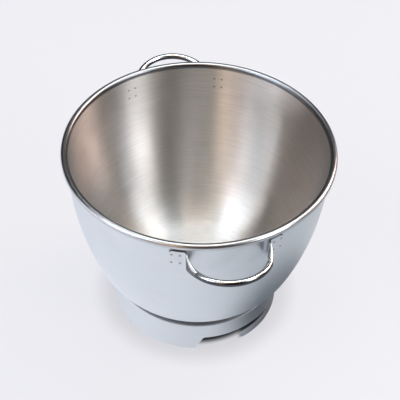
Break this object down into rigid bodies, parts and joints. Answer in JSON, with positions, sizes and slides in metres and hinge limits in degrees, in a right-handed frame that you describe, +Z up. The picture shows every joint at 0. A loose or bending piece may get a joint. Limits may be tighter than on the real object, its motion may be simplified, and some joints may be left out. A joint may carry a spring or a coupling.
{
  "type": "stand mixer bowl",
  "caption": "Tapered steel mixing bowl with rolled rim, side loop handles and a twist-lock foot ring.",
  "frame": {"origin": "on the bowl's axis, in the plane of the foot ring's bottom edge", "axes": "+Z up the bowl's axis towards the mouth, +Y from the front handle's side to the rear handle"},
  "size_m": [0.26, 0.325, 0.2001],
  "materials": {
    "bowl_steel": "stainless steel, brushed round the inside, satin outside, polished rolled rim",
    "foot_steel": "satin stainless steel",
    "handle_steel": "mirror-polished stainless steel rod"
  },
  "bodies": {
    "root": {"bowl": "bowl_steel", "foot_ring": "foot_steel", "handle_front": "handle_steel", "handle_rear": "handle_steel"}
  },
  "joints": []
}
